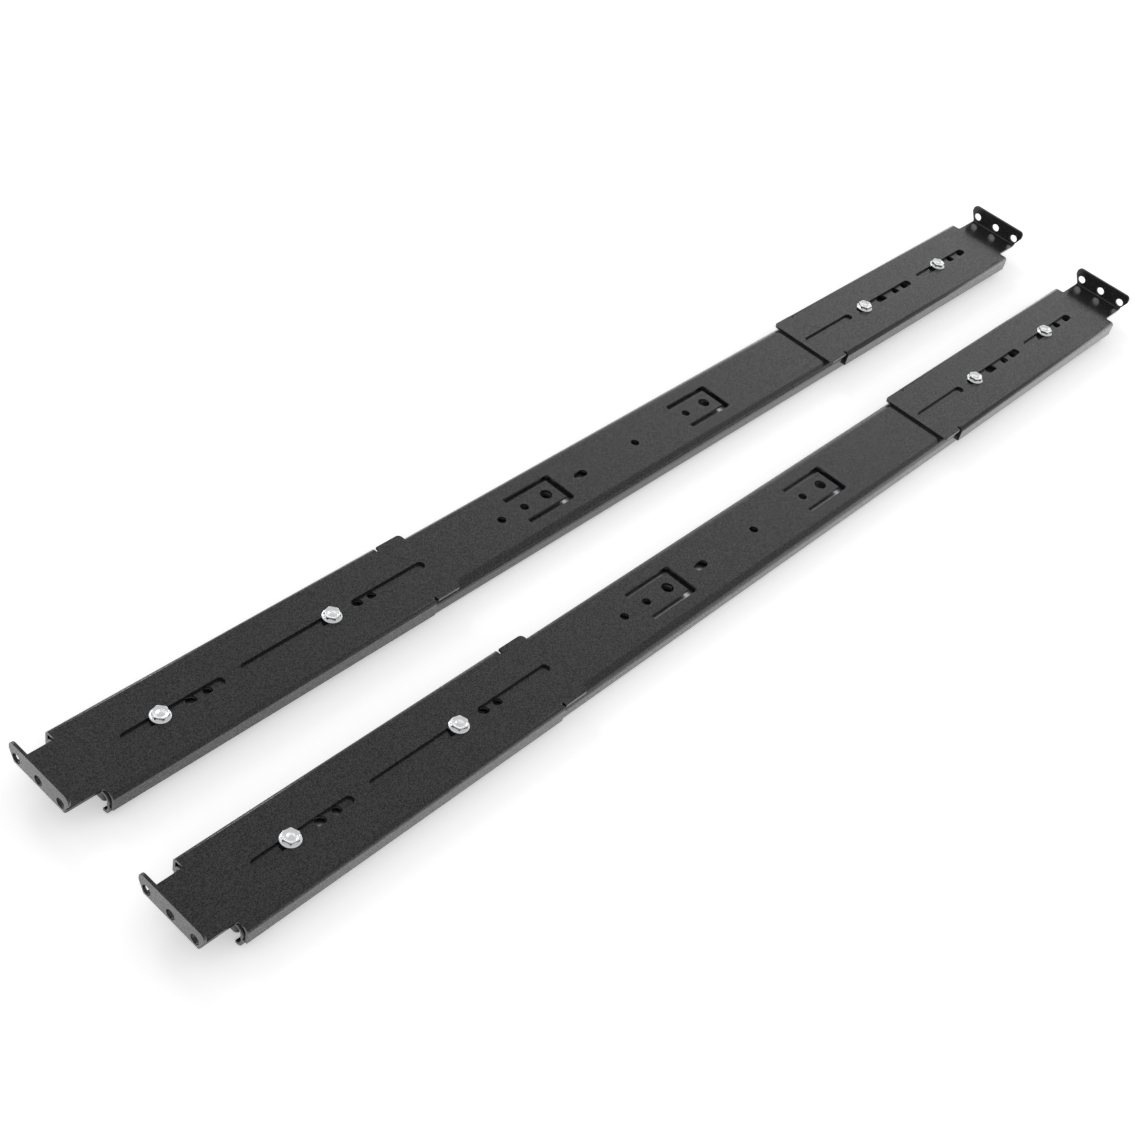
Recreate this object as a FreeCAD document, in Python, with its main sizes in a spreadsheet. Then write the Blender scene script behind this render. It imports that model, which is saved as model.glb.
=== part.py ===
import FreeCAD, Part
import math
import os
import re

import Sketcher

# A pair of ball-bearing server rails, lying side by side with their cabinet members up.
# X runs along the rails with the front at -X, Y across the pair, Z up, and the floor is Z = 0.
# Each rail is a three-section slide: a black cabinet (outer) member, a zinc middle member and a
# zinc chassis (inner) member on two pairs of ball rows, with an adjustable bracket at each end.

# --- Driving dimensions, in millimetres unless the note says otherwise -----------------------

SIZES = [
    # the pair
    ("rail_spacing", 91.0, "centre to centre of the two rails as they lie"),
    # cabinet member, a roll-formed channel with its lips turned in
    ("outer_width", 46.0, "width over the side walls"),
    ("outer_wall", 1.6, "sheet thickness"),
    ("outer_front", 20.6, "front end of the member behind the front ear's outer face"),
    ("outer_length", 777.0, "length"),
    ("rear_reach", 25.4, "outer face of the rear ear behind the member's rear end"),
    ("outer_top", 13.0, "height of the web's upper face"),
    ("chassis_proud", 0.3, "how far the chassis member stands proud of the lips"),
    ("shoulder_radius", 4.8, "outer radius from the web to the side wall"),
    ("lip_radius", 3.4, "outer radius from the side wall to the lip"),
    ("lip_reach", 4.3, "how far the lip reaches in from the outside"),
    # ball tracks
    ("ball_diameter", 3.968, "five thirty-seconds of an inch"),
    ("track_depth", 0.5, "depth of each groove in its wall"),
    ("track_gap", 0.12, "clearance between a ball and its groove"),
    ("track_height", 5.2, "height of the ball centres"),
    # middle member
    ("middle_front", 34.5, "front end behind the front ear's outer face"),
    ("middle_length", 749.5, "length"),
    ("middle_flange", 2.0, "thickness of the grooved flanges"),
    ("middle_web", 1.6, "thickness of the web"),
    ("middle_top", 9.4, "height of the web's upper face"),
    ("middle_bottom", 2.5, "height of the flanges' lower edges"),
    ("middle_radius", 2.4, "outer radius between web and flange"),
    ("access_hole", 8.5, "diameter of the web's access holes"),
    # chassis member
    ("inner_front", 33.5, "front end behind the front ear's outer face"),
    ("inner_length", 748.0, "length"),
    ("inner_wall", 1.6, "sheet thickness"),
    ("inner_height", 7.3, "height over the flanges"),
    ("inner_radius", 2.2, "outer radius between web and flange"),
    ("chassis_hole", 4.4, "diameter of the chassis screw holes"),
    ("chassis_pitch", 224.0, "spacing of the chassis screw holes"),
    ("chassis_first", 42.0, "member's front end to its first screw hole"),
    ("chassis_slot", 9.0, "length of the long chassis holes beside the round ones"),
    ("chassis_slot_offset", 16.0, "distance from a round hole to the long one beside it"),
    # ball cages
    ("cage_thickness", 0.8, "thickness of the cage strip"),
    ("cage_low", 2.6, "height of the strip's lower edge"),
    ("cage_high", 7.5, "height of the strip's upper edge"),
    ("cage_length", 370.0, "length of each cage strip"),
    ("cage_end", 10.0, "distance from the strip's end to its last ball"),
    ("balls_per_row", 6, "number of balls in each strip"),
    ("middle_travel", 380.0, "travel of the middle member in the outer one"),
    ("inner_travel", 380.0, "travel of the chassis member in the middle one"),
    ("cage_margin", 3.0, "room left at a cage's front end at full travel"),
    # brackets
    ("bracket_length", 242.2, "outer face of the ear to the end of the tongue"),
    ("bracket_wall", 1.6, "sheet thickness"),
    ("bracket_gap", 0.2, "clearance between the bracket's flange and the side wall"),
    ("flange_drop", 9.6, "depth of the flange below the bracket's upper face"),
    ("flange_radius", 2.4, "outer radius of the bend along each flange"),
    ("wide_start", 21.4, "ear's outer face to the start of the flanged part"),
    ("flange_end", 223.6, "ear's outer face to the end of the flanges"),
    ("relief_width", 1.8, "width of the relief cut between flange and tongue"),
    ("relief_inset", 2.6, "depth of the relief cut from the tongue's edge"),
    ("tongue_width", 47.6, "width of the flat tongue"),
    ("tongue_radius", 2.6, "corner radius of the tongue"),
    ("neck_width", 36.0, "width of the neck"),
    ("neck_fillet", 1.5, "radius where the neck meets the flanged part"),
    ("ear_height", 12.0, "height of the ear above the bracket's upper face"),
    ("ear_width", 42.6, "width of the ear near its top"),
    ("ear_shoulder", 7.0, "height above the bracket's face where the ear is at full width"),
    ("ear_radius", 3.0, "corner radius of the ear"),
    ("bend_radius", 0.8, "inside radius of the bend"),
    ("ear_hole", 5.5, "diameter of the ear's holes"),
    ("ear_pitch", 15.875, "spacing of the ear's holes, one third of 47.625"),
    ("ear_hole_height", 4.4, "height of the holes above the bracket's upper face"),
    ("slot_width", 5.4, "width of the adjusting slots"),
    ("slot_a_start", 44.3, "ear's outer face to the near end of the first slot"),
    ("slot_a_end", 104.3, "ear's outer face to the far end of the first slot"),
    ("slot_b_start", 115.0, "the same for the second slot"),
    ("slot_b_end", 178.0, "far end of the second slot"),
    ("slot_c_start", 187.0, "the same for the third slot"),
    ("slot_c_end", 237.5, "far end of the third slot"),
    # screws, hex washer head
    ("screw_1", 66.5, "front bracket's first screw from the front ear"),
    ("screw_2", 173.0, "front bracket's second screw from the front ear"),
    ("screw_3", 171.0, "rear bracket's inner screw from the rear ear"),
    ("screw_4", 79.0, "rear bracket's outer screw from the rear ear"),
    ("screw_diameter", 4.82, "diameter of the thread"),
    ("screw_length", 4.6, "length under the head"),
    ("thread_gap", 0.05, "radial clearance of the thread in its hole"),
    ("washer_diameter", 10.4, "diameter of the head's washer face"),
    ("washer_height", 0.7, "thickness of the washer face"),
    ("hex_flats", 7.92, "width of the hexagon over its flats"),
    ("head_height", 3.0, "height of the head with its washer face"),
    ("collar_diameter", 7.4, "outer diameter of the drawn collar round a threaded hole"),
    ("collar_depth", 1.3, "depth of the collar below the web"),
    # holes in the cabinet member's web, from the front ear's outer face
    ("spare_1_medium", 18.1, "first screw to the medium hole behind it"),
    ("spare_1_small", 28.0, "first screw to the small hole behind it"),
    ("spare_2_medium", 17.9, "second screw to the medium hole behind it"),
    ("spare_2_small", 27.5, "second screw to the small hole behind it"),
    ("spare_3_long", 22.4, "third screw to the middle of the long hole behind it"),
    ("spare_3_medium", 39.6, "third screw to the first medium hole behind it"),
    ("spare_3_last", 50.6, "third screw to the second medium hole behind it"),
    ("spare_4_medium", 18.9, "fourth screw to the medium hole behind it"),
    ("spare_4_small", 31.4, "fourth screw to the small hole behind it"),
    ("small_hole", 5.0, "diameter of the small holes"),
    ("medium_hole", 6.0, "diameter of the holes that show through the slots"),
    ("large_hole", 7.0, "diameter of the hole in each tab"),
    ("hole_a", 297.7, "small hole ahead of the first tab"),
    ("tab_1", 309.7, "start of the cut round the first tab"),
    ("tab_pitch", 143.6, "distance between the tabs"),
    ("tab_length", 36.6, "length of the cut round a tab"),
    ("tab_cut_end", 4.3, "width of the cut across a tab's free end"),
    ("tab_cut_side", 3.2, "width of the cut along a tab's sides"),
    ("tab_cut_width", 22.6, "width over the cut round a tab"),
    ("tab_radius", 1.5, "outer corner radius of the cut"),
    ("tab_small_hole", 6.2, "start of the cut to the tab's small hole"),
    ("tab_large_hole", 24.0, "start of the cut to the tab's large hole"),
    ("long_hole", 362.8, "centre of the long hole behind the first tab"),
    ("long_hole_length", 9.6, "length of the long holes"),
    ("hole_e", 411.6, "small hole in the middle of the member"),
    # nose, bumper, lever
    ("nose_front", 22.0, "front face of the nose behind the front ear's outer face"),
    ("nose_width", 35.0, "width of the nose"),
    ("nose_low", 3.0, "height of the nose's lower face"),
    ("nose_high", 9.0, "height of the nose's upper face"),
    ("nose_radius", 2.0, "corner radius of the nose"),
    ("nose_plug", 16.0, "length of the plug inside the chassis member"),
    ("slip_gap", 0.2, "clearance round plugs and other plastic pieces"),
    ("bumper_length", 10.0, "length of the bumper at the member's rear end"),
    ("bumper_width", 30.0, "width of the bumper"),
    ("bumper_low", 2.0, "height of the bumper's lower face"),
    ("bumper_gap", 0.8, "gap between the bumper and the middle member"),
    ("bumper_stud", 5.0, "diameter of the stud that holds the bumper in the web"),
    ("lever_pivot", 418.5, "chassis member's front end to the lever's rivet"),
    ("lever_length", 64.0, "rivet to the tip of the lever"),
    ("lever_width", 7.0, "width of the lever"),
    ("lever_thickness", 1.5, "thickness of the lever"),
    ("lever_hook", 2.2, "reach of the lever's hook"),
    ("lever_radius", 3.2, "corner radius at the lever's rivet end"),
    ("hook_radius", 1.0, "corner radius at the lever's tip"),
    ("rivet_diameter", 4.0, "diameter of the lever's rivet"),
    ("rivet_head", 7.0, "diameter of the rivet's head"),
    ("rivet_head_height", 1.0, "height of the rivet's head"),
    ("rivet_gap", 0.05, "radial clearance of the lever on its rivet"),
    ("lever_gap", 0.1, "clearance under the rivet's head"),
]

doc = FreeCAD.newDocument("server_rail_pair")
sheet = doc.addObject("Spreadsheet::Sheet", "sizes")
for row, (size_name, size_value, size_note) in enumerate(SIZES, start=1):
    sheet.set(f"A{row}", size_name)
    sheet.set(f"B{row}", str(size_value))
    sheet.set(f"C{row}", size_note)
    sheet.setAlias(f"B{row}", size_name)
doc.recompute()

# --- Sizes that follow from the driving ones, as expressions ----------------------------------

ball_radius = "ball_diameter / 2"
track_radius = f"({ball_radius} + track_gap)"
outer_half = "outer_width / 2"
outer_inside = f"({outer_half} - outer_wall)"
outer_row = f"({outer_inside} + track_depth - track_gap - {ball_radius})"
middle_outside = f"({outer_row} - {ball_radius} - track_gap + track_depth)"
middle_inside = f"({middle_outside} - middle_flange)"
inner_row = f"({middle_inside} + track_depth - track_gap - {ball_radius})"
inner_outside = f"({inner_row} - {ball_radius} - track_gap + track_depth)"
inner_inside = f"({inner_outside} - inner_wall)"
web_under = "(outer_top - outer_wall)"
bracket_top = "(outer_top + bracket_wall)"
flange_inside = f"({outer_half} + bracket_gap)"
flange_outside = f"({flange_inside} + bracket_wall)"
middle_rear = "(middle_front + middle_length)"
inner_rear = "(inner_front + inner_length)"
rear_ear = "(outer_front + outer_length + rear_reach)"
pivot_place = "(inner_front + lever_pivot)"
# a cage moves half as far as the member it carries, and stays inside both members
outer_cage_front = "(outer_front + cage_margin + middle_travel / 2)"
inner_cage_front = "(middle_front + cage_margin + inner_travel / 2)"
bumper_front = f"(max({middle_rear}; {inner_rear}) + bumper_gap)"


def bound(expression):
    """The expression with every size name pointed at the sheet."""
    return re.sub(r"\b[a-z][a-z0-9_]*\b(?!\()", lambda word: "sizes." + word.group(0), expression)


def number(expression):
    """The present value of an expression."""
    return float(sheet.evalExpression(str(expression)))


def bind(thing, prop, expression):
    """Bind one property of an object to an expression over the sheet."""
    thing.setExpression(prop, bound(str(expression)))


# --- Sketches ---------------------------------------------------------------------------------

def new_sketch(body, plane, offset="0"):
    """A sketch on one of the body's own origin planes, lifted along the plane's normal."""
    sketch = body.newObject("Sketcher::SketchObject", body.Name + "_sketch")
    sketch.AttachmentSupport = [(next(f for f in body.Origin.OriginFeatures if f.Role == plane), "")]
    sketch.MapMode = "FlatFace"
    bind(sketch, "AttachmentOffset.Base.z", offset)
    return sketch


def fix_distance(sketch, kind, geometry, point, expression):
    """Hold a point at a signed distance from the sketch's origin."""
    value = number(expression)
    if abs(value) < 1e-9:
        other = -2 if kind == "DistanceX" else -1
        sketch.addConstraint(Sketcher.Constraint("PointOnObject", geometry, point, other))
        return
    index = sketch.addConstraint(Sketcher.Constraint(kind, -1, 1, geometry, point, value))
    bind(sketch, f"Constraints[{index}]", expression)


def fixed_corner(sketch, across, up):
    """A construction point at two driven distances from the origin."""
    place = FreeCAD.Vector(number(across), number(up), 0)
    index = sketch.addGeometry(Part.Point(place), True)
    fix_distance(sketch, "DistanceX", index, 1, across)
    fix_distance(sketch, "DistanceY", index, 1, up)
    return index


def add_outline(sketch, corners):
    """A closed outline through driven corners (across, up, radius), rounded where radius is set."""
    places = [FreeCAD.Vector(number(c[0]), number(c[1]), 0) for c in corners]
    radii = [c[2] if len(c) > 2 else None for c in corners]
    marks = [fixed_corner(sketch, c[0], c[1]) for c in corners]
    count = len(corners)
    starts = []
    ends = []
    arcs = []
    for i in range(count):
        before = (places[i - 1] - places[i]).normalize()
        after = (places[(i + 1) % count] - places[i]).normalize()
        if radii[i] is None:
            ends.append(places[i])
            starts.append(places[i])
            arcs.append(None)
            continue
        radius = number(radii[i])
        half_angle = before.getAngle(after) / 2
        reach = radius / math.tan(half_angle)
        entry = places[i] + before * reach
        leave = places[i] + after * reach
        centre = places[i] + (before + after).normalize() * (radius / math.sin(half_angle))
        middle = centre + (places[i] - centre).normalize() * radius
        ends.append(entry)
        starts.append(leave)
        arcs.append((entry, middle, leave))
    lines = []
    for i in range(count):
        line = Part.LineSegment(starts[i], ends[(i + 1) % count])
        lines.append(sketch.addGeometry(line, False))
    for i in range(count):
        into = lines[i - 1]
        out = lines[i]
        if arcs[i] is None:
            sketch.addConstraint(Sketcher.Constraint("Coincident", into, 2, out, 1))
            sketch.addConstraint(Sketcher.Constraint("Coincident", out, 1, marks[i], 1))
            continue
        arc = sketch.addGeometry(Part.Arc(*arcs[i]), False)
        entry_point = sketch.getPoint(arc, 1)
        first = 1 if entry_point.distanceToPoint(arcs[i][0]) < 1e-6 else 2
        sketch.addConstraint(Sketcher.Constraint("PointOnObject", marks[i], 1, into))
        sketch.addConstraint(Sketcher.Constraint("PointOnObject", marks[i], 1, out))
        sketch.addConstraint(Sketcher.Constraint("Tangent", into, 2, arc, first))
        sketch.addConstraint(Sketcher.Constraint("Tangent", out, 1, arc, 3 - first))
        index = sketch.addConstraint(Sketcher.Constraint("Radius", arc, number(radii[i])))
        bind(sketch, f"Constraints[{index}]", radii[i])


def add_circle(sketch, across, up, diameter):
    """A circle with a driven centre and diameter."""
    centre = FreeCAD.Vector(number(across), number(up), 0)
    circle = Part.Circle(centre, FreeCAD.Vector(0, 0, 1), number(diameter) / 2)
    index = sketch.addGeometry(circle, False)
    fix_distance(sketch, "DistanceX", index, 3, across)
    fix_distance(sketch, "DistanceY", index, 3, up)
    size = sketch.addConstraint(Sketcher.Constraint("Diameter", index, number(diameter)))
    bind(sketch, f"Constraints[{size}]", diameter)


def add_slot(sketch, start, end, width, across="0"):
    """A round-ended slot along X from start to end."""
    radius = number(width) / 2
    axis = FreeCAD.Vector(0, 0, 1)
    near = FreeCAD.Vector(number(start) + radius, number(across), 0)
    far = FreeCAD.Vector(number(end) - radius, number(across), 0)
    side = FreeCAD.Vector(0, radius, 0)
    quarter = math.pi / 2
    near_arc = Part.ArcOfCircle(Part.Circle(near, axis, radius), quarter, 3 * quarter)
    far_arc = Part.ArcOfCircle(Part.Circle(far, axis, radius), -quarter, quarter)
    near_end = sketch.addGeometry(near_arc, False)
    low = sketch.addGeometry(Part.LineSegment(near - side, far - side), False)
    far_end = sketch.addGeometry(far_arc, False)
    high = sketch.addGeometry(Part.LineSegment(far + side, near + side), False)
    loop = [near_end, low, far_end, high]
    for i in range(4):
        sketch.addConstraint(Sketcher.Constraint("Tangent", loop[i], 2, loop[(i + 1) % 4], 1))
    sketch.addConstraint(Sketcher.Constraint("Equal", near_end, far_end))
    fix_distance(sketch, "DistanceX", near_end, 3, f"{start} + ({width}) / 2")
    fix_distance(sketch, "DistanceY", near_end, 3, across)
    fix_distance(sketch, "DistanceX", far_end, 3, f"{end} - ({width}) / 2")
    fix_distance(sketch, "DistanceY", far_end, 3, across)
    size = sketch.addConstraint(Sketcher.Constraint("Radius", near_end, radius))
    bind(sketch, f"Constraints[{size}]", f"({width}) / 2")


# --- Features ---------------------------------------------------------------------------------

def new_body(name):
    """An empty body whose label is the sub-part's name."""
    body = doc.addObject("PartDesign::Body", name)
    body.Label = name
    return body


def pad(body, sketch, length, side="One side", reverse=False):
    """Extrude a sketch by a driven length."""
    feature = body.newObject("PartDesign::Pad", body.Name + "_pad")
    feature.Profile = sketch
    feature.SideType = side
    feature.Reversed = reverse
    bind(feature, "Length", length)
    body.Tip = feature
    return feature


def pocket(body, sketch, length, reverse=False):
    """Cut a sketch by a driven length, and make sure that it does cut."""
    doc.recompute()
    before = body.Shape.Volume
    feature = body.newObject("PartDesign::Pocket", body.Name + "_pocket")
    feature.Profile = sketch
    feature.Reversed = reverse
    bind(feature, "Length", length)
    body.Tip = feature
    doc.recompute()
    if not body.Shape.Volume < before - 1e-6:
        raise RuntimeError(f"{feature.Name} cuts nothing")
    return feature


def mirrored(body, features):
    """Repeat features on the other side of the rail's middle plane."""
    feature = body.newObject("PartDesign::Mirrored", body.Name + "_mirror")
    feature.Originals = features
    plane = next(f for f in body.Origin.OriginFeatures if f.Role == "XZ_Plane")
    feature.MirrorPlane = (plane, [""])
    body.Tip = feature
    return feature


# --- Cabinet member ---------------------------------------------------------------------------

def outer_member(name):
    """The black channel: web up, side walls with ball tracks, and lips turned in below."""
    body = new_body(name)
    lip_low = "chassis_proud"
    section = new_sketch(body, "YZ_Plane", "outer_front")
    add_outline(section, [
        ("0", "outer_top"),
        (outer_half, "outer_top", "shoulder_radius"),
        (outer_half, lip_low, "lip_radius"),
        (f"{outer_half} - lip_reach", lip_low),
        (f"{outer_half} - lip_reach", f"{lip_low} + outer_wall"),
        (outer_inside, f"{lip_low} + outer_wall", "lip_radius - outer_wall"),
        (outer_inside, web_under, "shoulder_radius - outer_wall"),
        ("0", web_under),
    ])
    half = pad(body, section, "outer_length")
    mirrored(body, [half])
    # drawn collars below the web, one for each screw
    collars = new_sketch(body, "XY_Plane", web_under)
    for screw in SCREWS:
        add_circle(collars, screw, "0", "collar_diameter")
    pad(body, collars, "collar_depth", reverse=True)
    cut_tracks(body, [outer_row], "outer_front", "outer_length")
    cut_web_holes(body)
    return body


# how far the screws and the rear ear lie behind the front ear
SCREWS = ["screw_1", "screw_2", f"({rear_ear} - screw_3)", f"({rear_ear} - screw_4)"]


def cut_tracks(body, rows, front, length):
    """Grooves for the balls along both sides of a member."""
    tracks = new_sketch(body, "YZ_Plane", front)
    for across in rows:
        add_circle(tracks, across, "track_height", f"2 * {track_radius}")
        add_circle(tracks, f"-{across}", "track_height", f"2 * {track_radius}")
    pocket(body, tracks, length, reverse=True)


def cut_web_holes(body):
    """Every hole through the cabinet member's web."""
    thread = "screw_diameter + 2 * thread_gap"
    threaded = new_sketch(body, "XY_Plane", "outer_top")
    for screw in SCREWS:
        add_circle(threaded, screw, "0", thread)
    pocket(body, threaded, "outer_wall + collar_depth")
    plain = new_sketch(body, "XY_Plane", "outer_top")
    # pairs of holes for the brackets' other settings, seen through their slots
    half_long = "long_hole_length / 2"
    spare_long = f"({SCREWS[2]} + spare_3_long)"
    add_circle(plain, "screw_1 + spare_1_medium", "0", "medium_hole")
    add_circle(plain, "screw_1 + spare_1_small", "0", "small_hole")
    add_circle(plain, "screw_2 + spare_2_medium", "0", "medium_hole")
    add_circle(plain, "screw_2 + spare_2_small", "0", "small_hole")
    add_slot(plain, f"{spare_long} - {half_long}", f"{spare_long} + {half_long}", "medium_hole")
    add_circle(plain, f"{SCREWS[2]} + spare_3_medium", "0", "medium_hole")
    add_circle(plain, f"{SCREWS[2]} + spare_3_last", "0", "medium_hole")
    add_circle(plain, f"{SCREWS[3]} + spare_4_medium", "0", "medium_hole")
    add_circle(plain, f"{SCREWS[3]} + spare_4_small", "0", "small_hole")
    # holes between the brackets
    add_circle(plain, "hole_a", "0", "small_hole")
    add_circle(plain, "hole_e", "0", "small_hole")
    add_slot(plain, f"long_hole - {half_long}", f"long_hole + {half_long}", "small_hole")
    # two tabs, each left standing by a U-shaped cut that is open towards the front
    for start in ("tab_1", "tab_1 + tab_pitch"):
        add_circle(plain, f"{start} + tab_small_hole", "0", "small_hole")
        add_circle(plain, f"{start} + tab_large_hole", "0", "large_hole")
        cut_half = "tab_cut_width / 2"
        tab_half = f"({cut_half} - tab_cut_side)"
        end = f"({start} + tab_length)"
        add_outline(plain, [
            (start, f"-{cut_half}"),
            (end, f"-{cut_half}", "tab_radius"),
            (end, cut_half, "tab_radius"),
            (start, cut_half),
            (start, tab_half),
            (f"{end} - tab_cut_end", tab_half),
            (f"{end} - tab_cut_end", f"-{tab_half}"),
            (start, f"-{tab_half}"),
        ])
    # the bumper's stud
    add_circle(plain, f"{bumper_front} + bumper_length / 2", "0", "bumper_stud")
    pocket(body, plain, "outer_wall")


# --- Middle and chassis members ---------------------------------------------------------------

def middle_member(name):
    """The zinc channel between the two ball rows, grooved on both faces of each flange."""
    body = new_body(name)
    section = new_sketch(body, "YZ_Plane", "middle_front")
    under = "(middle_top - middle_web)"
    add_outline(section, [
        ("0", "middle_top"),
        (middle_outside, "middle_top", "middle_radius"),
        (middle_outside, "middle_bottom"),
        (middle_inside, "middle_bottom"),
        (middle_inside, under, "middle_radius - middle_web"),
        ("0", under),
    ])
    half = pad(body, section, "middle_length")
    mirrored(body, [half])
    cut_tracks(body, [outer_row, inner_row], "middle_front", "middle_length")
    access = new_sketch(body, "XY_Plane", "middle_top")
    for share in (1, 2, 3, 4):
        add_circle(access, f"middle_front + {share} * middle_length / 5", "0", "access_hole")
    pocket(body, access, "middle_web")
    return body


def inner_member(name):
    """The zinc channel that is screwed to the chassis, its web down and its flanges up."""
    body = new_body(name)
    section = new_sketch(body, "YZ_Plane", "inner_front")
    add_outline(section, [
        ("0", "0"),
        (inner_outside, "0", "inner_radius"),
        (inner_outside, "inner_height"),
        (inner_inside, "inner_height"),
        (inner_inside, "inner_wall", "inner_radius - inner_wall"),
        ("0", "inner_wall"),
    ])
    half = pad(body, section, "inner_length")
    mirrored(body, [half])
    cut_tracks(body, [inner_row], "inner_front", "inner_length")
    holes = new_sketch(body, "XY_Plane", "inner_wall")
    for step in range(4):
        place = f"(inner_front + chassis_first + {step} * chassis_pitch)"
        add_circle(holes, place, "0", "chassis_hole")
        long_place = f"({place} - chassis_slot_offset)"
        half_slot = "chassis_slot / 2"
        add_slot(holes, f"{long_place} - {half_slot}", f"{long_place} + {half_slot}", "chassis_hole")
    add_circle(holes, pivot_place, "0", "rivet_diameter")
    pocket(body, holes, "inner_wall")
    return body


# --- Brackets ---------------------------------------------------------------------------------

def bracket(name):
    """An adjustable end bracket: ear, bend, neck, flanged part, tongue and three slots."""
    body = new_body(name)
    top = bracket_top
    # neck and bend, as an L-shaped strip
    strip = new_sketch(body, "XZ_Plane")
    bend_top = f"({top} + bend_radius)"
    strip_top = f"({bend_top} + bracket_wall / 2)"
    add_outline(strip, [
        ("wide_start", "outer_top"),
        ("0", "outer_top", "bend_radius + bracket_wall"),
        ("0", strip_top),
        ("bracket_wall", strip_top),
        ("bracket_wall", top, "bend_radius"),
        ("wide_start", top),
    ])
    pad(body, strip, "neck_width", side="Symmetric")
    # ear with its row of three holes
    ear = new_sketch(body, "YZ_Plane")
    neck_half = "(neck_width / 2)"
    ear_half = "ear_width / 2"
    ear_top = f"({top} + ear_height)"
    shoulder = f"({top} + ear_shoulder)"
    add_outline(ear, [
        (f"-{neck_half}", bend_top),
        (neck_half, bend_top),
        (ear_half, shoulder),
        (ear_half, ear_top, "ear_radius"),
        (f"-{ear_half}", ear_top, "ear_radius"),
        (f"-{ear_half}", shoulder),
    ])
    pad(body, ear, "bracket_wall")
    holes = new_sketch(body, "YZ_Plane")
    for step in (-1, 0, 1):
        add_circle(holes, f"{step} * ear_pitch", f"{top} + ear_hole_height", "ear_hole")
    pocket(body, holes, "bracket_wall", reverse=True)
    # flanged part: a flat web whose edges are folded down beside the member
    flange_part(body)
    # the flanged part starts early and is cut back, which leaves a fillet on each side of the neck
    corners = new_sketch(body, "XY_Plane", top)
    cut_start = "(wide_start - 2 * neck_fillet)"
    cut_half = f"({flange_outside} + bracket_wall)"
    for side in ("", "-"):
        add_outline(corners, [
            (cut_start, f"{side}{neck_half}"),
            ("wide_start", f"{side}{neck_half}", "neck_fillet"),
            ("wide_start", f"{side}{cut_half}"),
            (cut_start, f"{side}{cut_half}"),
        ])
    pocket(body, corners, "bracket_wall + flange_drop")
    # tongue and relief cuts, a flat plate in the web's plane
    tongue = new_sketch(body, "XY_Plane", "outer_top")
    tongue_half = "tongue_width / 2"
    relief_half = f"({tongue_half} - relief_inset)"
    relief_end = "(flange_end + relief_width)"
    add_outline(tongue, [
        ("flange_end - relief_width", f"-{relief_half}"),
        (relief_end, f"-{relief_half}"),
        (relief_end, f"-{tongue_half}"),
        ("bracket_length", f"-{tongue_half}", "tongue_radius"),
        ("bracket_length", tongue_half, "tongue_radius"),
        (relief_end, tongue_half),
        (relief_end, relief_half),
        ("flange_end - relief_width", relief_half),
    ])
    pad(body, tongue, "bracket_wall")
    slots = new_sketch(body, "XY_Plane", top)
    for slot in ("slot_a", "slot_b", "slot_c"):
        add_slot(slots, f"{slot}_start", f"{slot}_end", "slot_width")
    pocket(body, slots, "bracket_wall")
    return body


def flange_part(body):
    """The half section of the flanged part, its web and one flange, and its mirror."""
    section = new_sketch(body, "YZ_Plane", "wide_start - neck_fillet")
    low = f"({bracket_top} - flange_drop)"
    add_outline(section, [
        ("0", "outer_top"),
        (flange_inside, "outer_top", "flange_radius - bracket_wall"),
        (flange_inside, low),
        (flange_outside, low),
        (flange_outside, bracket_top, "flange_radius"),
        ("0", bracket_top),
    ])
    half = pad(body, section, "flange_end - wide_start + neck_fillet")
    mirrored(body, [half])


# --- Screws -----------------------------------------------------------------------------------

def screw(name, along):
    """One hex washer-head screw, standing in its threaded hole."""
    shank = doc.addObject("Part::Cylinder", name + "_shank")
    bind(shank, "Radius", "screw_diameter / 2")
    bind(shank, "Height", "screw_length + washer_height / 2")
    bind(shank, "Placement.Base.z", f"{bracket_top} - screw_length")
    washer = doc.addObject("Part::Cylinder", name + "_washer")
    bind(washer, "Radius", "washer_diameter / 2")
    bind(washer, "Height", "washer_height")
    bind(washer, "Placement.Base.z", bracket_top)
    hexagon = doc.addObject("Part::Prism", name + "_hexagon")
    hexagon.Polygon = 6
    bind(hexagon, "Circumradius", "hex_flats / sqrt(3)")
    bind(hexagon, "Height", "head_height")
    bind(hexagon, "Placement.Base.z", bracket_top)
    whole = doc.addObject("Part::MultiFuse", name)
    whole.Shapes = [shank, washer, hexagon]
    whole.Refine = True
    bind(whole, "Placement.Base.x", along)
    return whole


def group(name, members):
    """Equal pieces that share one node, as separate solids."""
    compound = doc.addObject("Part::Compound", name)
    compound.Label = name
    compound.Links = members
    return compound


# --- Ball cages -------------------------------------------------------------------------------

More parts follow.
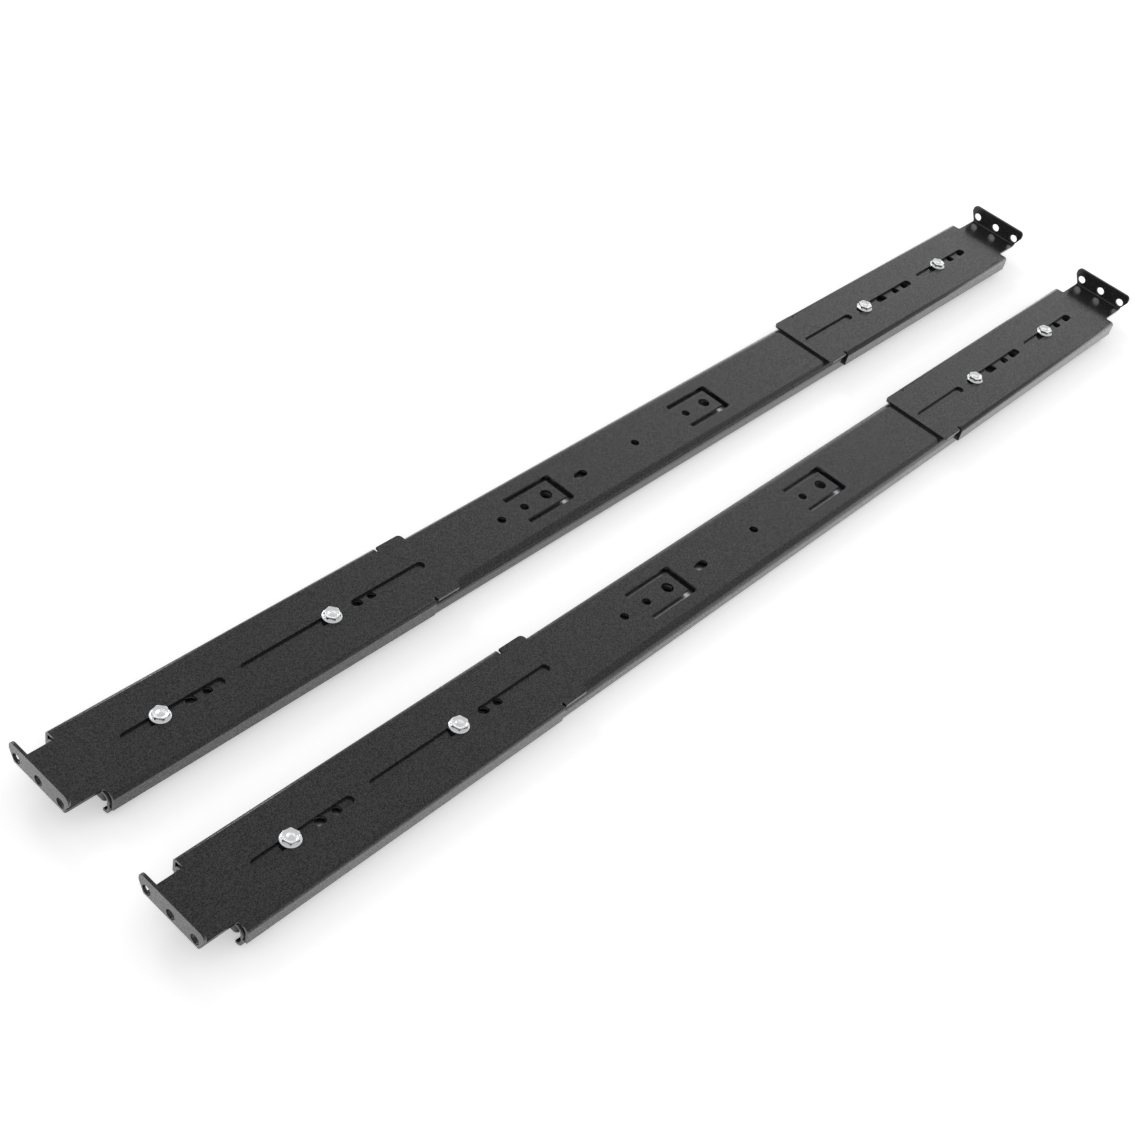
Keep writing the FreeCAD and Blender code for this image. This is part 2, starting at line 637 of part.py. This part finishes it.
def ball_cage(name, across, front):
    """One cage strip with its balls, as one piece: they travel together."""
    body = new_body(name)
    strip = new_sketch(body, "XZ_Plane", f"-({across} + cage_thickness / 2)")
    end = f"({front} + cage_length)"
    add_outline(strip, [
        (front, "cage_low"),
        (end, "cage_low"),
        (end, "cage_high"),
        (front, "cage_high"),
    ])
    pad(body, strip, "cage_thickness")
    # a ball is a turned bead with few faces, which a round ball of the same size would cover
    bead = new_sketch(body, "XZ_Plane", f"-({across})")
    bind(bead, "AttachmentOffset.Base.x", f"{front} + cage_end")
    diagonal = f"({ball_radius} / sqrt(2))"
    add_outline(bead, [
        ("0", f"track_height - {ball_radius}"),
        (diagonal, f"track_height - {diagonal}"),
        (ball_radius, "track_height"),
        (diagonal, f"track_height + {diagonal}"),
        ("0", f"track_height + {ball_radius}"),
    ])
    ball = body.newObject("PartDesign::Revolution", name + "_ball")
    ball.Profile = bead
    ball.ReferenceAxis = (bead, ["V_Axis"])
    ball.Angle = 360
    row = body.newObject("PartDesign::LinearPattern", name + "_row")
    row.Originals = [ball]
    axis = next(f for f in body.Origin.OriginFeatures if f.Role == "X_Axis")
    row.Direction = (axis, [""])
    bind(row, "Length", "cage_length - 2 * cage_end")
    bind(row, "Occurrences", "balls_per_row")
    body.Tip = row
    return body


# --- Small pieces -----------------------------------------------------------------------------

def nose(name):
    """The moulded nose on the front end of the chassis member, with a plug in its channel."""
    body = new_body(name)
    plan = new_sketch(body, "XY_Plane", "nose_low")
    half = "nose_width / 2"
    plug_half = f"({inner_inside} - slip_gap)"
    add_outline(plan, [
        ("nose_front", f"-{half}", "nose_radius"),
        ("inner_front", f"-{half}"),
        ("inner_front", half),
        ("nose_front", half, "nose_radius"),
    ])
    pad(body, plan, "nose_high - nose_low")
    plug = new_sketch(body, "XY_Plane", "inner_wall + slip_gap")
    add_outline(plug, [
        ("inner_front - nose_radius", f"-{plug_half}"),
        ("inner_front + nose_plug", f"-{plug_half}", "nose_radius"),
        ("inner_front + nose_plug", plug_half, "nose_radius"),
        ("inner_front - nose_radius", plug_half),
    ])
    pad(body, plug, "inner_height - inner_wall - slip_gap")
    return body


def rear_bumper(name):
    """The rubber stop at the cabinet member's rear end, held by a stud through the web."""
    body = new_body(name)
    plan = new_sketch(body, "XY_Plane", "bumper_low")
    half = "bumper_width / 2"
    end = f"({bumper_front} + bumper_length)"
    add_outline(plan, [
        (bumper_front, f"-{half}"),
        (end, f"-{half}", "nose_radius"),
        (end, half, "nose_radius"),
        (bumper_front, half),
    ])
    pad(body, plan, f"{web_under} - bumper_low")
    stud = new_sketch(body, "XY_Plane", web_under)
    add_circle(stud, f"{bumper_front} + bumper_length / 2", "0", "bumper_stud - 2 * thread_gap")
    pad(body, stud, "outer_wall")
    return body


def release_lever(name):
    """The flat lever that frees the chassis member, barbed at its tip and turning on a rivet."""
    body = new_body(name)
    plan = new_sketch(body, "XY_Plane", "inner_wall")
    half = "lever_width / 2"
    heel = f"({pivot_place} + lever_width / 2)"
    tip = f"({pivot_place} - lever_length)"
    hook = f"({tip} + lever_width)"
    wide = f"({half} + lever_hook)"
    # the barb is the same on both sides, so one lever serves both rails
    add_outline(plan, [
        (heel, f"-{half}", "lever_radius"),
        (heel, half, "lever_radius"),
        (f"{hook} + lever_hook", half),
        (hook, wide),
        (tip, half, "hook_radius"),
        (tip, f"-{half}", "hook_radius"),
        (hook, f"-{wide}"),
        (f"{hook} + lever_hook", f"-{half}"),
    ])
    pad(body, plan, "lever_thickness")
    eye = new_sketch(body, "XY_Plane", "inner_wall + lever_thickness")
    add_circle(eye, pivot_place, "0", "rivet_diameter + 2 * rivet_gap")
    pocket(body, eye, "lever_thickness")
    return body


def lever_rivet(name):
    """The rivet under the lever, set in the chassis member's web."""
    shank = doc.addObject("Part::Cylinder", name + "_shank")
    bind(shank, "Radius", "rivet_diameter / 2")
    bind(shank, "Height", "inner_wall + lever_thickness + lever_gap")
    head = doc.addObject("Part::Cylinder", name + "_head")
    bind(head, "Radius", "rivet_head / 2")
    bind(head, "Height", "rivet_head_height")
    bind(head, "Placement.Base.z", "inner_wall + lever_thickness + lever_gap")
    rivet = doc.addObject("Part::Fuse", name)
    rivet.Label = name
    rivet.Base = shank
    rivet.Tool = head
    for piece in (shank, head):
        bind(piece, "Placement.Base.x", pivot_place)
    return rivet


# --- Assembly ---------------------------------------------------------------------------------

def place(part, side, turned=False):
    """Move a part from the rail's own frame into the pair's, turned end for end if asked."""
    if turned:
        part.Placement.Rotation = FreeCAD.Rotation(FreeCAD.Vector(0, 0, 1), 180)
    bind(part, "Placement.Base.x", f"{rear_ear} / 2" if turned else f"-{rear_ear} / 2")
    bind(part, "Placement.Base.y", f"{side} * rail_spacing / 2")
    return part


nodes = []
for side_name, side in (("left", 1), ("right", -1)):
    rail = [
        outer_member(f"{side_name}_outer_member"),
        middle_member(f"{side_name}_middle_member"),
        inner_member(f"{side_name}_inner_member"),
        bracket(f"{side_name}_front_bracket"),
        group(f"{side_name}_front_bracket_screws",
              [screw(f"{side_name}_screw_{n}", SCREWS[n]) for n in (0, 1)]),
        group(f"{side_name}_rear_bracket_screws",
              [screw(f"{side_name}_screw_{n}", SCREWS[n]) for n in (2, 3)]),
        nose(f"{side_name}_nose"),
        rear_bumper(f"{side_name}_rear_bumper"),
        release_lever(f"{side_name}_release_lever"),
        lever_rivet(f"{side_name}_lever_rivet"),
    ]
    # the inboard side of a rail faces the other rail
    for facing, sign in (("inboard", -side), ("outboard", side)):
        for gap, row, front in (("outer", outer_row, outer_cage_front), ("inner", inner_row, inner_cage_front)):
            rail.append(ball_cage(f"{side_name}_{gap}_ball_cage_{facing}", f"{sign} * {row}", front))
    nodes.extend(place(part, side) for part in rail)
    nodes.append(place(bracket(f"{side_name}_rear_bracket"), side, turned=True))

# --- Check and write --------------------------------------------------------------------------

doc.recompute()
for thing in doc.Objects:
    if "Invalid" in thing.State or "Error" in thing.State:
        raise RuntimeError(f"{thing.Label} did not build: {thing.State}")
for node in nodes:
    if node.Shape.isNull() or not node.Shape.isValid():
        raise RuntimeError(f"{node.Label} has no valid shape")

os.makedirs("parts", exist_ok=True)
for node in nodes:
    node.Shape.exportStep(f"parts/{node.Label}.step")
    print(f"{node.Label}: {len(node.Shape.Solids)} solid(s), {node.Shape.Volume / 1000:.2f} cm3")
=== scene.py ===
import math
import bmesh
import bpy
from mathutils import Matrix, Vector


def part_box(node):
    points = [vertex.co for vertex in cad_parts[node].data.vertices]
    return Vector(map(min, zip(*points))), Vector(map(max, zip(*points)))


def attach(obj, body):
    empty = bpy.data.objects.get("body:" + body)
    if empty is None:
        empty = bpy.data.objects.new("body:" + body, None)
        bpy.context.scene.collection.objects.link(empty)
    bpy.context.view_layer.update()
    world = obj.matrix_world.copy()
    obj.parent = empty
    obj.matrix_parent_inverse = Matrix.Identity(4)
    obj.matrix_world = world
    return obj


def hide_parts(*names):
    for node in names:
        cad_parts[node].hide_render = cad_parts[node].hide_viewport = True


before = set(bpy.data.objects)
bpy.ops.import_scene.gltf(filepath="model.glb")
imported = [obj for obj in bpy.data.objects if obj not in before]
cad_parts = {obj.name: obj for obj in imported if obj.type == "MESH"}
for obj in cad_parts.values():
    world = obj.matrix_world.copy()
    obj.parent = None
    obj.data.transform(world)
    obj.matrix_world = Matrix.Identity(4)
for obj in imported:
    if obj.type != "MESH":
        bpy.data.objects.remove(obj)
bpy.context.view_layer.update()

# A pair of ball-bearing server rails, lying side by side with their black cabinet members up.
# X runs along the rails with the front at -X, +Y is the left rail's side, and Z = 0 is the floor.

# --- Cabinet members and brackets: black powder coat -------------------------------------------
# The cabinet members are roll-formed steel channels, and the brackets are folded steel sheet that
# fits over them. All are sprayed with a fine-textured, semi-matte black powder, which runs back
# a little from the cut edges and rounds them as it is baked.

sides = {"left": 1, "right": -1}
coat_black = (0.017, 0.017, 0.018, 1.0)
coat_grain = 0.00055
coat_variation = 0.75
coat_gloss = 0.55
coat_roughness = (0.16, 0.22)
speck_contrast = (0.38, 0.62)
cloud_contrast = (0.3, 0.7)
coat_top_roughness = 0.18
coat_specular = 0.22
cloud_scale = 14.0
orange_peel_scale = 900.0
orange_peel_depth = 0.00007
coated_edge = 0.00025
same_corner = 0.00001
flat_angle = math.radians(0.5)
sharp_angle = math.radians(35)


def node_group(name, inputs, outputs):
    """An empty shader group with named float, colour or vector sockets."""
    group = bpy.data.node_groups.new(name, "ShaderNodeTree")
    for label, kind, value in inputs:
        socket = group.interface.new_socket(label, in_out="INPUT", socket_type="NodeSocket" + kind)
        if value is not None:
            socket.default_value = value
    for label, kind in outputs:
        group.interface.new_socket(label, in_out="OUTPUT", socket_type="NodeSocket" + kind)
    group.nodes.new("NodeGroupInput").name = "in"
    group.nodes.new("NodeGroupOutput").name = "out"
    return group


def add_node(tree, kind, **values):
    """A node with its settings, and its input values where the name is one of its sockets."""
    node = tree.nodes.new(kind)
    for label, value in values.items():
        if hasattr(node, label):
            setattr(node, label, value)
        else:
            node.inputs[label.replace("_", " ")].default_value = value
    return node


def add_noise(tree, place, **values):
    """A noise over the surface, as a node whose Fac runs from 0 to 1."""
    noise = add_node(tree, "ShaderNodeTexNoise", **values)
    tree.links.new(place, noise.inputs["Vector"])
    return noise


def add_range(tree, source, span, result, **values):
    """Carry a span of values over to another span, and give the output."""
    node = add_node(tree, "ShaderNodeMapRange", From_Min=span[0], From_Max=span[1],
                    To_Min=result[0], To_Max=result[1], **values)
    tree.links.new(source, node.inputs["Value"])
    return node.outputs["Result"]


# the grain of sprayed powder: fine specks of colour and gloss, broad clouds of sheen, orange peel
speckle = node_group(
    "powder speckle",
    [("Vector", "Vector", None), ("Size", "Float", 0.001), ("Colour", "Color", coat_black),
     ("Variation", "Float", 0.3)],
    [("Colour", "Color"), ("Gloss", "Float"), ("Roughness", "Float"), ("Height", "Float")],
)
inside = speckle.nodes["in"]
outside = speckle.nodes["out"]
specks = add_noise(speckle, inside.outputs["Vector"], Detail=2.0, Roughness=0.7)
per_size = add_node(speckle, "ShaderNodeMath", operation="DIVIDE")
per_size.inputs[0].default_value = 1.0
speckle.links.new(inside.outputs["Size"], per_size.inputs[1])
speckle.links.new(per_size.outputs[0], specks.inputs["Scale"])
contrast = add_range(speckle, specks.outputs["Fac"], speck_contrast, (-1.0, 1.0))
amount = add_node(speckle, "ShaderNodeMath", operation="MULTIPLY_ADD")
amount.inputs[2].default_value = 1.0
speckle.links.new(contrast, amount.inputs[0])
speckle.links.new(inside.outputs["Variation"], amount.inputs[1])
gloss = add_node(speckle, "ShaderNodeMath", operation="MULTIPLY")
gloss.inputs[1].default_value = coat_gloss
speckle.links.new(amount.outputs[0], gloss.inputs[0])
speckle.links.new(gloss.outputs[0], outside.inputs["Gloss"])
tint = add_node(speckle, "ShaderNodeVectorMath", operation="SCALE")
speckle.links.new(inside.outputs["Colour"], tint.inputs[0])
speckle.links.new(amount.outputs[0], tint.inputs["Scale"])
speckle.links.new(tint.outputs["Vector"], outside.inputs["Colour"])
clouds = add_noise(speckle, inside.outputs["Vector"], Scale=cloud_scale, Detail=3.0)
sheen = add_range(speckle, clouds.outputs["Fac"], cloud_contrast, coat_roughness)
speckle.links.new(sheen, outside.inputs["Roughness"])
orange_peel = add_noise(speckle, inside.outputs["Vector"], Scale=orange_peel_scale, Detail=1.0)
speckle.links.new(orange_peel.outputs["Fac"], outside.inputs["Height"])


def new_material(name):
    """A node material, its tree, its shader and its Object coordinates."""
    material = bpy.data.materials.new(name)
    material.use_nodes = True
    tree = material.node_tree
    shader = tree.nodes["Principled BSDF"]
    place = tree.nodes.new("ShaderNodeTexCoord").outputs["Object"]
    return material, tree, shader, place


def add_bump(tree, shader, height, depth):
    """A bump of the given depth in metres on the shader's normal."""
    bump = add_node(tree, "ShaderNodeBump", Distance=depth, Strength=1.0)
    tree.links.new(height, bump.inputs["Height"])
    tree.links.new(bump.outputs["Normal"], shader.inputs["Normal"])


powder_coat, tree, shader, place = new_material("black powder coat")
sprayed = add_node(tree, "ShaderNodeGroup", node_tree=speckle, Size=coat_grain,
                   Variation=coat_variation, Colour=coat_black)
tree.links.new(place, sprayed.inputs["Vector"])
tree.links.new(sprayed.outputs["Colour"], shader.inputs["Base Color"])
tree.links.new(sprayed.outputs["Roughness"], shader.inputs["Roughness"])
tree.links.new(sprayed.outputs["Gloss"], shader.inputs["Coat Weight"])
shader.inputs["Coat Roughness"].default_value = coat_top_roughness
shader.inputs["Specular IOR Level"].default_value = coat_specular
add_bump(tree, shader, sprayed.outputs["Height"], orange_peel_depth)


def dress(node, material):
    """Give a CAD node its material."""
    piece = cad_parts[node]
    piece.data.materials.clear()
    piece.data.materials.append(material)
    return piece


def soften(piece, width):
    """Round a CAD node's sharp edges: merge its loose triangles, clean its flats, then bevel."""
    weld = piece.modifiers.new("merge corners", "WELD")
    weld.merge_threshold = same_corner
    clean = piece.modifiers.new("clean flats", "DECIMATE")
    clean.decimate_type = "DISSOLVE"
    clean.angle_limit = flat_angle
    edge = piece.modifiers.new("rounded edges", "BEVEL")
    edge.width = width
    edge.segments = 2
    edge.limit_method = "ANGLE"
    edge.angle_limit = sharp_angle


for side in sides:
    for part in ("outer_member", "front_bracket", "rear_bracket"):
        soften(dress(f"{side}_{part}", powder_coat), coated_edge)

# --- Middle and chassis members, cages, lever: zinc-plated steel -------------------------------
# The two inner channels are rolled from zinc-plated strip, which leaves long faint marks on them.
# The ball cages and the release lever are stamped from thinner strip, and a rivet holds the lever.

zinc_dark = (0.52, 0.53, 0.55, 1.0)
zinc_light = (0.78, 0.79, 0.80, 1.0)
zinc_roughness = 0.32
roll_marks = (30.0, 2500.0, 2500.0)
roll_mark_depth = 0.00002

zinc_plate, tree, shader, place = new_material("zinc plate")
drawn_out = add_node(tree, "ShaderNodeMapping", Scale=roll_marks)
tree.links.new(place, drawn_out.inputs["Vector"])
streaks = add_noise(tree, drawn_out.outputs["Vector"], Scale=1.0, Detail=3.0)
shade = add_node(tree, "ShaderNodeValToRGB")
shade.color_ramp.elements[0].position = 0.3
shade.color_ramp.elements[0].color = zinc_dark
shade.color_ramp.elements[1].position = 0.7
shade.color_ramp.elements[1].color = zinc_light
tree.links.new(streaks.outputs["Fac"], shade.inputs["Fac"])
tree.links.new(shade.outputs["Color"], shader.inputs["Base Color"])
shader.inputs["Metallic"].default_value = 1.0
shader.inputs["Roughness"].default_value = zinc_roughness
add_bump(tree, shader, streaks.outputs["Fac"], roll_mark_depth)

ball_rows = [(gap, facing) for gap in ("outer", "inner") for facing in ("inboard", "outboard")]
for side in sides:
    for part in ("middle_member", "inner_member", "lever_rivet", "release_lever"):
        dress(f"{side}_{part}", zinc_plate)
    for gap, facing in ball_rows:
        dress(f"{side}_{gap}_ball_cage_{facing}", zinc_plate)

# --- Balls: polished steel ---------------------------------------------------------------------
# Hardened steel balls, five thirty-seconds of an inch, ground and polished. Each strip of a cage
# holds twenty-one of them in a row, and they run in the grooves of the two members beside it.

ball_radius = 0.001984
ball_height = 0.0052
balls_in_row = 21
cage_end = 0.010
ball_colour = (0.66, 0.67, 0.68, 1.0)
ball_roughness = (0.06, 0.16)
ball_haze_scale = 1200.0

ball_steel, tree, shader, place = new_material("polished ball steel")
haze = add_noise(tree, place, Scale=ball_haze_scale, Detail=2.0)
polish = add_range(tree, haze.outputs["Fac"], (0.0, 1.0), ball_roughness)
tree.links.new(polish, shader.inputs["Roughness"])
shader.inputs["Base Color"].default_value = ball_colour
shader.inputs["Metallic"].default_value = 1.0


def add_piece(name, form, material):
    """A smooth-shaded object at the origin, made from a finished bmesh in one material."""
    mesh = bpy.data.meshes.new(name)
    form.to_mesh(mesh)
    form.free()
    mesh.shade_smooth()
    mesh.materials.append(material)
    piece = bpy.data.objects.new(name, mesh)
    bpy.context.scene.collection.objects.link(piece)
    return piece


for side in sides:
    for gap, facing in ball_rows:
        lowest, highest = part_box(f"{side}_{gap}_ball_cage_{facing}")
        first = lowest.x + cage_end
        pitch = (highest.x - cage_end - first) / (balls_in_row - 1)
        across = (lowest.y + highest.y) / 2
        form = bmesh.new()
        for ball in range(balls_in_row):
            centre = Matrix.Translation((first + ball * pitch, across, ball_height))
            bmesh.ops.create_uvsphere(form, u_segments=12, v_segments=8, radius=ball_radius,
                                      matrix=centre)
        balls = add_piece(f"{side}_{gap}_balls_{facing}", form, ball_steel)
        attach(balls, f"{side}_{gap}_cages")

# --- Nose and bumper: moulded plastic and rubber -----------------------------------------------
# The nose is injection moulded in black acetal and pressed into the chassis member's front end.
# The bumper is pressed from black rubber, and its stud is pulled through the cabinet member's web.

acetal_black = (0.02, 0.02, 0.021, 1.0)
acetal_roughness = 0.35
rubber_dark = (0.020, 0.020, 0.020, 1.0)
rubber_light = (0.045, 0.044, 0.042, 1.0)
rubber_roughness = 0.75
acetal_grain_scale = 1800.0
acetal_grain_depth = 0.00003
rubber_grain_scale = 350.0
rubber_grain_depth = 0.00010
nose_edge = 0.0014
bumper_edge = 0.0006

acetal, tree, shader, place = new_material("black acetal")
skin = add_noise(tree, place, Scale=acetal_grain_scale, Detail=2.0)
shader.inputs["Base Color"].default_value = acetal_black
shader.inputs["Roughness"].default_value = acetal_roughness
add_bump(tree, shader, skin.outputs["Fac"], acetal_grain_depth)

rubber, tree, shader, place = new_material("black rubber")
bloom = add_noise(tree, place, Scale=rubber_grain_scale, Detail=4.0)
dull = add_node(tree, "ShaderNodeValToRGB")
dull.color_ramp.elements[0].color = rubber_dark
dull.color_ramp.elements[1].color = rubber_light
tree.links.new(bloom.outputs["Fac"], dull.inputs["Fac"])
tree.links.new(dull.outputs["Color"], shader.inputs["Base Color"])
shader.inputs["Roughness"].default_value = rubber_roughness
add_bump(tree, shader, bloom.outputs["Fac"], rubber_grain_depth)

for side in sides:
    soften(dress(f"{side}_nose", acetal), nose_edge)
    soften(dress(f"{side}_rear_bumper", rubber), bumper_edge)

# --- Screws: bright zinc -----------------------------------------------------------------------
# Hex washer-head screws, cold headed with a dished top, thread rolled and then zinc plated. Each
# one clamps a bracket's slot to a threaded collar in the cabinet member's web.

screw_colour = (0.88, 0.89, 0.90, 1.0)
screw_roughness = 0.15
screw_mottle_scale = 1600.0
screw_mottle_depth = 0.00012
head_height = 0.0030
hex_half = 0.00396
washer_radius = 0.0052
thread_radius = 0.00241
thread_root = 0.0021
thread_pitch = 0.0008
thread_turns = 5
screw_facets = 72
screw_turns = {"front": (0.54, 0.475), "rear": (0.25, 0.55)}
side_turn = 0.2

screw_zinc, tree, shader, place = new_material("bright zinc")
mottle = add_noise(tree, place, Scale=screw_mottle_scale, Detail=2.0)
shader.inputs["Base Color"].default_value = screw_colour
shader.inputs["Metallic"].default_value = 1.0
shader.inputs["Roughness"].default_value = screw_roughness
add_bump(tree, shader, mottle.outputs["Fac"], screw_mottle_depth)


def screw_rings(tip, top):
    """A screw's rings from tip to top: height, radius, and whether the hexagon's flats cut it."""
    foot = top - head_height
    washer_top = foot + 0.0010
    rings = [(tip, 0.0017, False)]
    for turn in range(thread_turns):
        rings.append((tip + (turn + 0.3) * thread_pitch, thread_radius, False))
        rings.append((tip + (turn + 0.8) * thread_pitch, thread_root, False))
    rings += [
        # washer face
        (foot, thread_root, False), (foot, washer_radius - 0.0001, False),
        (foot + 0.0001, washer_radius, False), (foot + 0.0007, washer_radius, False),
        (foot + 0.00085, washer_radius - 0.00015, False), (washer_top, 0.0047, False),
        # hexagon with its chamfer
        (washer_top, 0.0045, True), (top - 0.00022, 0.0045, True),
        (top - 0.00006, 0.0044, True), (top, 0.0042, True), (top, 0.0037, True),
        # dished top
        (top - 0.0001, 0.00335, False), (top - 0.0005, 0.0030, False),
        (top - 0.0006, 0.0025, False), (top - 0.0006, 0.0019, False),
        (top - 0.0004, 0.0016, False), (top - 0.0004, 0.0006, False),
    ]
    return rings


def add_screw(form, rings, along, across, turned):
    """Draw a screw up from its tip, ring by ring, then turn it, set it in place and close it."""
    corners = bmesh.ops.create_circle(form, segments=screw_facets, radius=1.0)["verts"]
    edges = [form.edges.get(pair) for pair in zip(corners, corners[1:] + corners[:1])]
    tip_edges = edges
    screw = []
    for number, (height, radius, six_sided) in enumerate(rings):
        if number > 0:
            drawn = bmesh.ops.extrude_edge_only(form, edges=edges)["geom"]
            corners = [part for part in drawn if isinstance(part, bmesh.types.BMVert)]
            edges = [part for part in drawn if isinstance(part, bmesh.types.BMEdge)]
        for corner in corners:
            angle = math.atan2(corner.co.y, corner.co.x)
            from_flat = (angle + math.pi / 6) % (math.pi / 3) - math.pi / 6
            reach = min(radius, hex_half / math.cos(from_flat)) if six_sided else radius
            corner.co = (reach * math.cos(angle), reach * math.sin(angle), height)
        screw += corners
    seat = Matrix.Translation((along, across, 0.0)) @ Matrix.Rotation(turned, 4, "Z")
    bmesh.ops.transform(form, matrix=seat, verts=screw)
    ends = bmesh.ops.edgeloop_fill(form, edges=tip_edges + edges)["faces"]
    bmesh.ops.poke(form, faces=ends)


for side, sign in sides.items():
    for end, (front_turned, rear_turned) in screw_turns.items():
        lowest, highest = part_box(f"{side}_{end}_bracket_screws")
        across = (lowest.y + highest.y) / 2
        # rounded, because a facet of the solid's washer face can lie just inside its circle
        front = round(lowest.x + washer_radius, 4)
        rear = round(highest.x - washer_radius, 4)
        rings = screw_rings(lowest.z, highest.z)
        form = bmesh.new()
        for along, turned in ((front, front_turned), (rear, rear_turned)):
            add_screw(form, rings, along, across, turned + side_turn * sign)
        bmesh.ops.recalc_face_normals(form, faces=form.faces)
        screws = add_piece(f"{side}_{end}_screws", form, screw_zinc)
        screws.data.set_sharp_from_angle(angle=sharp_angle)
        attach(screws, "cabinet_members")
        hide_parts(f"{side}_{end}_bracket_screws")

# --- Floor, light and camera -------------------------------------------------------------------
# A white table in a white tent of even light. The tent is brighter behind the rails' far ends and
# along the horizon, and one weak lamp stands on the left rail's side.

table_size = 60.0
table_white = 0.92
table_roughness = 0.9
table_lift = 0.42
table_mirrored = 0.65
pure_white = (1.0, 1.0, 1.0, 1.0)
window_middle = Vector((0.80, 0.45, 0.40)).normalized()
window_fade = (0.88, 1.0)
window_strength = (0.62, 1.05)
horizon_fade = (0.06, 0.20)
horizon_strength = (1.2, 0.0)
lamp_place = Vector((0.30, 1.90, 1.45))
lamp_size = 0.6
lamp_power = 7.0
camera_place = Vector((-0.6986, -0.3698, 0.6513))
camera_azimuth = math.radians(31.80)
camera_elevation = math.radians(42.77)
camera_roll = math.radians(15.33)
camera_lens = 55.2
camera_sensor = 36.0

# the table is a little brighter to the eye, and in what the rails mirror, than its light makes it
paper, tree, shader, place = new_material("white table")
shader.inputs["Base Color"].default_value = (table_white, table_white, table_white, 1.0)
shader.inputs["Roughness"].default_value = table_roughness
shader.inputs["Specular IOR Level"].default_value = 0.0
rays = add_node(tree, "ShaderNodeLightPath")
mirrored = add_node(tree, "ShaderNodeMath", operation="MULTIPLY")
mirrored.inputs[1].default_value = table_mirrored
tree.links.new(rays.outputs["Is Glossy Ray"], mirrored.inputs[0])
lift = add_node(tree, "ShaderNodeMath", operation="MULTIPLY_ADD")
lift.inputs[1].default_value = table_lift
tree.links.new(rays.outputs["Is Camera Ray"], lift.inputs[0])
tree.links.new(mirrored.outputs[0], lift.inputs[2])
shader.inputs["Emission Color"].default_value = pure_white
tree.links.new(lift.outputs[0], shader.inputs["Emission Strength"])

form = bmesh.new()
bmesh.ops.create_grid(form, x_segments=1, y_segments=1, size=table_size / 2)
floor = add_piece("floor", form, paper)

tent = bpy.data.worlds.new("tent")
bpy.context.scene.world = tent
tent.use_nodes = True
tree = tent.node_tree
sky = tree.nodes["Background"]
sky.inputs["Color"].default_value = pure_white
sight = tree.nodes.new("ShaderNodeTexCoord").outputs["Generated"]
toward = add_node(tree, "ShaderNodeVectorMath", operation="DOT_PRODUCT")
toward.inputs[1].default_value = window_middle
tree.links.new(sight, toward.inputs[0])
window = add_range(tree, toward.outputs["Value"], window_fade, window_strength,
                   interpolation_type="SMOOTHSTEP")
upward = add_node(tree, "ShaderNodeSeparateXYZ")
tree.links.new(sight, upward.inputs[0])
horizon = add_range(tree, upward.outputs["Z"], horizon_fade, horizon_strength,
                    interpolation_type="SMOOTHSTEP")
both = add_node(tree, "ShaderNodeMath", operation="ADD")
tree.links.new(window, both.inputs[0])
tree.links.new(horizon, both.inputs[1])
tree.links.new(both.outputs[0], sky.inputs["Strength"])

side_light = bpy.data.lights.new("side lamp", "AREA")
side_light.size = lamp_size
side_light.energy = lamp_power
side_lamp = bpy.data.objects.new("side lamp", side_light)
side_lamp.location = lamp_place
side_lamp.rotation_euler = (-lamp_place).to_track_quat("-Z", "Y").to_euler()
bpy.context.scene.collection.objects.link(side_lamp)

lens = bpy.data.cameras.new("camera")
lens.sensor_width = camera_sensor
lens.lens = camera_lens
camera = bpy.data.objects.new("camera", lens)
forward = Vector((math.cos(camera_elevation) * math.cos(camera_azimuth),
                  math.cos(camera_elevation) * math.sin(camera_azimuth),
                  -math.sin(camera_elevation)))
level = Vector((math.sin(camera_azimuth), -math.cos(camera_azimuth), 0.0))
upright = level.cross(forward)
right = level * math.cos(camera_roll) + upright * math.sin(camera_roll)
up = upright * math.cos(camera_roll) - level * math.sin(camera_roll)
turn = Matrix((right, up, -forward)).transposed().to_4x4()
camera.matrix_world = Matrix.Translation(camera_place) @ turn
bpy.context.scene.collection.objects.link(camera)
bpy.context.scene.camera = camera
bpy.context.scene.view_settings.view_transform = "Standard"
